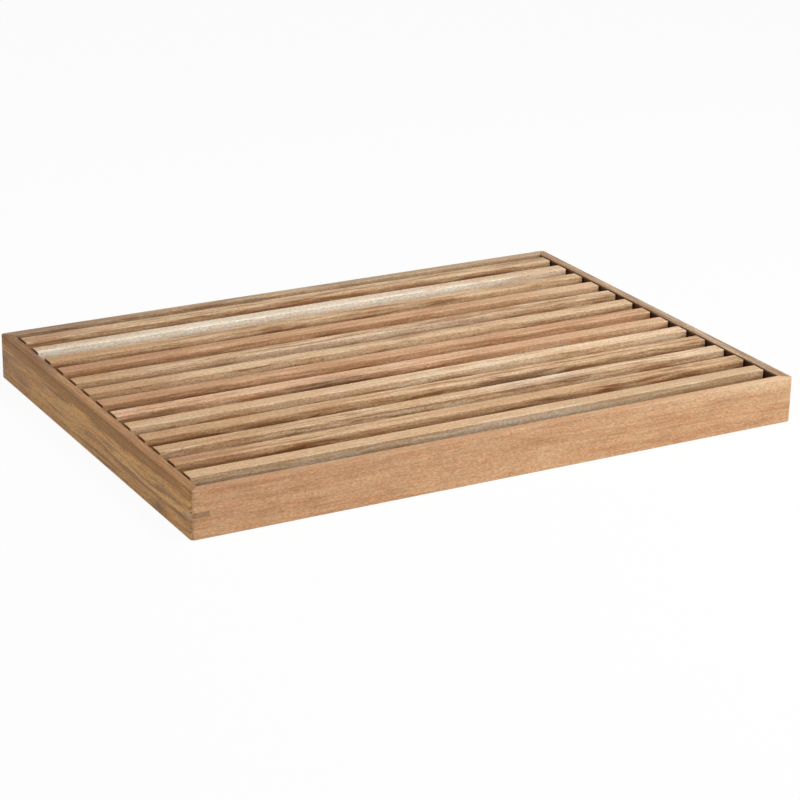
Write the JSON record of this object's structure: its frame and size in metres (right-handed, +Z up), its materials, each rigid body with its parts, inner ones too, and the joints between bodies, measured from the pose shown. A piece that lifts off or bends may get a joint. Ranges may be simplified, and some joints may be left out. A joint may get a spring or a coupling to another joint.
{
  "type": "slatted bread board",
  "caption": "Wooden bread cutting board: a shallow mitred crumb tray with a lift-out slatted grid, tops level with the rim.",
  "frame": {"origin": "on the ground, under the middle of the tray", "axes": "+X along the long side to the right, +Y from the front rail to the rear rail, +Z up through the slats"},
  "size_m": [0.42, 0.3, 0.03],
  "materials": {
    "long_rail_wood": "oiled acacia, light tan, fine straight grain",
    "short_rail_wood": "oiled acacia, golden brown with dark streaks",
    "spline_wood": "pale hardwood key, sanded flush",
    "panel_wood": "thin light veneered board, lightly oiled",
    "bearer_wood": "oiled acacia, plain brown",
    "slat_cream": "oiled acacia sapwood, pale cream",
    "slat_sand": "oiled acacia, light beige",
    "slat_tan": "oiled acacia, golden tan",
    "slat_rose": "oiled acacia, pinkish brown",
    "slat_brown": "oiled acacia heartwood, dark-streaked brown",
    "screw_steel": "bright zinc-plated steel"
  },
  "bodies": {
    "tray": {"front_rail": "long_rail_wood", "rear_rail": "long_rail_wood", "left_rail": "short_rail_wood", "right_rail": "short_rail_wood", "corner_spline_front_left": "spline_wood", "corner_spline_front_right": "spline_wood", "corner_spline_rear_left": "spline_wood", "corner_spline_rear_right": "spline_wood", "base_panel": "panel_wood"},
    "grid": {"slat_01": "slat_tan", "slat_02": "slat_cream", "slat_03": "slat_tan", "slat_04": "slat_rose", "slat_05": "slat_tan", "slat_06": "slat_sand", "slat_07": "slat_rose", "slat_08": "slat_rose", "slat_09": "slat_sand", "slat_10": "slat_tan", "slat_11": "slat_sand", "slat_12": "slat_brown", "slat_13": "slat_cream", "bearer_left": "bearer_wood", "bearer_right": "bearer_wood", "screw_left_01": "screw_steel", "screw_left_02": "screw_steel", "screw_left_03": "screw_steel", "screw_left_04": "screw_steel", "screw_left_05": "screw_steel", "screw_left_06": "screw_steel", "screw_left_07": "screw_steel", "screw_left_08": "screw_steel", "screw_left_09": "screw_steel", "screw_left_10": "screw_steel", "screw_left_11": "screw_steel", "screw_left_12": "screw_steel", "screw_left_13": "screw_steel", "screw_right_01": "screw_steel", "screw_right_02": "screw_steel", "screw_right_03": "screw_steel", "screw_right_04": "screw_steel", "screw_right_05": "screw_steel", "screw_right_06": "screw_steel", "screw_right_07": "screw_steel", "screw_right_08": "screw_steel", "screw_right_09": "screw_steel", "screw_right_10": "screw_steel", "screw_right_11": "screw_steel", "screw_right_12": "screw_steel", "screw_right_13": "screw_steel"}
  },
  "joints": [
    {"name": "grid_lift", "type": "slide", "parent": "tray", "child": "grid", "axis": [0, 0, 1], "range_m": [0, 0.045]}
  ]
}
